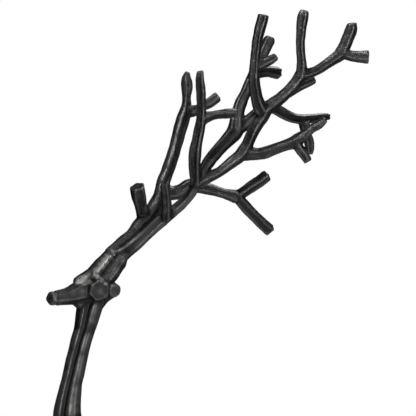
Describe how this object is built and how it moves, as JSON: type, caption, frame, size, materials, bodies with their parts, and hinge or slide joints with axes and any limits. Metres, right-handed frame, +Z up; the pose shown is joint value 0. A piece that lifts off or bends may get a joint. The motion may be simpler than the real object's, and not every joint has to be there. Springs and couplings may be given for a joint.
{
  "type": "aluminium deer sculpture",
  "caption": "Slender standing deer cast in dark aluminium, with a raised muzzle, stub ears and swept-back antlers shaped like cut branches, on a low plate.",
  "frame": {"origin": "middle of the base plate's underside", "axes": "+Z up from the plate to the antlers, -X the way the deer faces, -Y its left side"},
  "size_m": [0.3679, 0.1557, 0.7205],
  "materials": {
    "dark_casting": "satin black coat over rough sand-cast surface, rubbed lighter on ridges",
    "dark_plate": "satin black coat"
  },
  "bodies": {
    "root": {"deer": "dark_casting", "base_plate": "dark_plate"}
  },
  "joints": []
}
